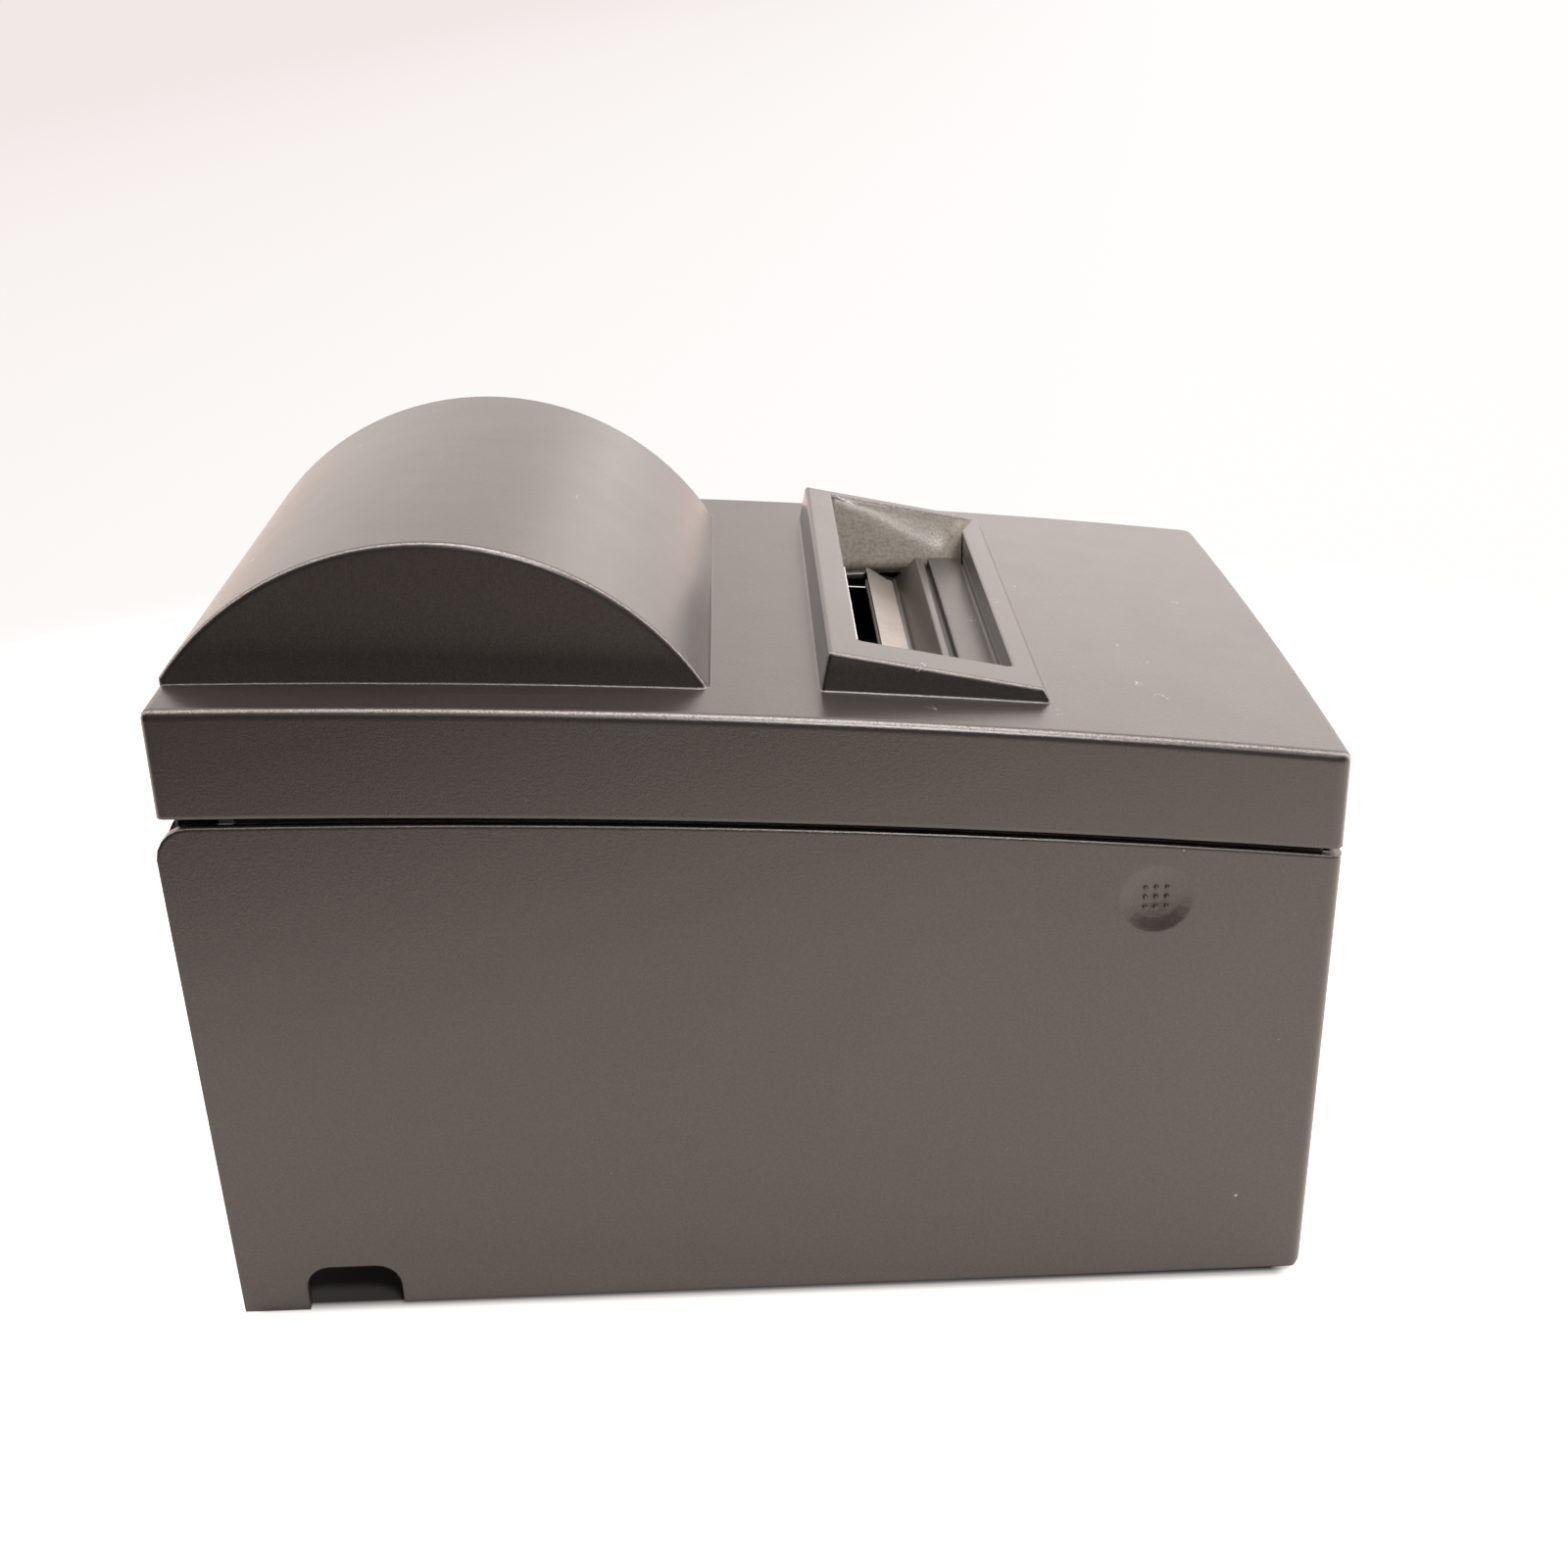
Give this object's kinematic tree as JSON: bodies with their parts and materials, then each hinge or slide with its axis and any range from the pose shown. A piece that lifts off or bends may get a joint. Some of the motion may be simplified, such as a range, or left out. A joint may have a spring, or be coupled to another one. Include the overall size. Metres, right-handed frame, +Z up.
{
  "type": "kitchen receipt printer",
  "caption": "Charcoal desktop impact receipt printer with a hinged top cover, a round roll hump and a raised tear-off window.",
  "frame": {"origin": "on the floor under the middle of the printer's bounding box", "axes": "+X to the printer's front, +Y to its right as the front is seen, +Z up"},
  "size_m": [0.2478, 0.16, 0.1764],
  "materials": {
    "case_plastic": "fine-grained satin charcoal plastic",
    "tray_plastic": "satin black plastic",
    "dark_plastic": "matte black plastic",
    "lever_plastic": "satin grey plastic",
    "gear_plastic": "satin natural acetal",
    "button_plastic": "satin grey plastic",
    "strip_steel": "brushed bright steel",
    "steel": "plated sheet steel",
    "motor_steel": "dull plated steel",
    "brass": "turned brass",
    "rubber": "matte black rubber",
    "ribbon_ink": "inked nylon tape",
    "circuit_board": "green lacquered board",
    "green_lamp": "clear tinted plastic, unlit",
    "red_lamp": "clear tinted plastic, unlit"
  },
  "bodies": {
    "base": {"lower_case": "case_plastic", "foot_front_left": "rubber", "foot_front_right": "rubber", "foot_rear_left": "rubber", "foot_rear_right": "rubber", "hinge_pin_left": "steel", "hinge_pin_right": "steel", "side_plate_left": "steel", "side_plate_right": "steel", "paper_bucket": "dark_plastic", "base_plate": "steel", "feed_motor": "motor_steel", "motor_shelf": "steel", "carriage_motor": "motor_steel", "drive_belt": "rubber", "guide_shaft": "steel", "carriage_rail": "steel", "platen": "rubber", "ribbon_cassette": "dark_plastic", "ribbon": "ribbon_ink", "main_board": "circuit_board", "connector_panel": "steel", "interface_connector": "strip_steel", "drawer_jack": "tray_plastic", "power_jack": "tray_plastic", "control_panel": "tray_plastic", "power_lamp": "green_lamp", "error_lamp": "red_lamp", "paper_lamp": "red_lamp", "switch_housing": "tray_plastic"},
    "cover": {"printer_cover": "case_plastic", "window_tray": "case_plastic", "paper_guide_strip": "strip_steel", "tear_bar": "strip_steel"},
    "carriage": {"carriage": "dark_plastic", "print_head": "motor_steel"},
    "feed_roller": {"feed_shaft": "steel", "feed_sleeve": "rubber", "feed_gear": "gear_plastic"},
    "pinch_roller": {"pinch_roller": "rubber"},
    "idler_gear": {"idler_gear": "gear_plastic"},
    "motor_pinion": {"motor_pinion": "brass"},
    "drive_pulley": {"drive_pulley": "gear_plastic"},
    "idler_pulley": {"idler_pulley": "gear_plastic"},
    "ribbon_knob": {"ribbon_knob": "lever_plastic"},
    "near_end_lever": {"near_end_lever": "lever_plastic"},
    "feed_button": {"feed_button": "button_plastic"},
    "power_switch": {"power_switch": "tray_plastic"}
  },
  "joints": [
    {"name": "cover_hinge", "type": "hinge", "parent": "base", "child": "cover", "pos_m": [-0.11655, 0, 0.1142], "axis": [0, -1, 0], "range_deg": [0, 80]},
    {"name": "carriage_slide", "type": "slide", "parent": "base", "child": "carriage", "axis": [0, 1, 0], "range_m": [-0.028, 0.028]},
    {"name": "drive_pulley_spin", "type": "hinge", "parent": "base", "child": "drive_pulley", "pos_m": [0.06325, -0.042, 0.058], "axis": [0, 0, 1], "range_deg": [-240, 240]},
    {"name": "idler_pulley_spin", "type": "hinge", "parent": "base", "child": "idler_pulley", "pos_m": [0.06325, 0.042, 0.058], "axis": [0, 0, 1], "range_deg": [-240, 240]},
    {"name": "feed_spin", "type": "hinge", "parent": "base", "child": "feed_roller", "pos_m": [0.00725, 0, 0.08], "axis": [0, 1, 0], "continuous": true},
    {"name": "pinch_spin", "type": "hinge", "parent": "base", "child": "pinch_roller", "pos_m": [0.0189, 0, 0.08424], "axis": [0, 1, 0], "continuous": true},
    {"name": "idler_gear_spin", "type": "hinge", "parent": "base", "child": "idler_gear", "pos_m": [0.01477, -0.0625, 0.05933], "axis": [0, 1, 0], "continuous": true},
    {"name": "pinion_spin", "type": "hinge", "parent": "base", "child": "motor_pinion", "pos_m": [0.02927, -0.0625, 0.05257], "axis": [0, 1, 0], "continuous": true},
    {"name": "ribbon_knob_turn", "type": "hinge", "parent": "base", "child": "ribbon_knob", "pos_m": [0.09125, -0.034, 0.1118], "axis": [0, 0, 1], "continuous": true},
    {"name": "near_end_lever_swing", "type": "hinge", "parent": "base", "child": "near_end_lever", "pos_m": [-0.06675, 0.0408, 0.078], "axis": [0, 0, -1], "range_deg": [0, 10], "stiffness_Nm_per_rad": 0.002, "springref_deg": -11.46},
    {"name": "feed_button_press", "type": "slide", "parent": "base", "child": "feed_button", "axis": [-1, 0, 0], "range_m": [0, 0.001], "stiffness_N_per_m": 400, "springref_m": -0.0004},
    {"name": "power_switch_rock", "type": "hinge", "parent": "base", "child": "power_switch", "pos_m": [0.11789, 0.056, 0.024], "axis": [0, 1, 0], "range_deg": [-14, 0]}
  ],
  "couplings": [
    {"joint": "drive_pulley_spin", "follows": "carriage_slide", "rad_per_m": -147.06},
    {"joint": "idler_pulley_spin", "follows": "carriage_slide", "rad_per_m": -147.06},
    {"joint": "pinch_spin", "follows": "feed_spin", "ratio": -1.4},
    {"joint": "idler_gear_spin", "follows": "feed_spin", "ratio": -1.2},
    {"joint": "pinion_spin", "follows": "feed_spin", "ratio": 2}
  ]
}
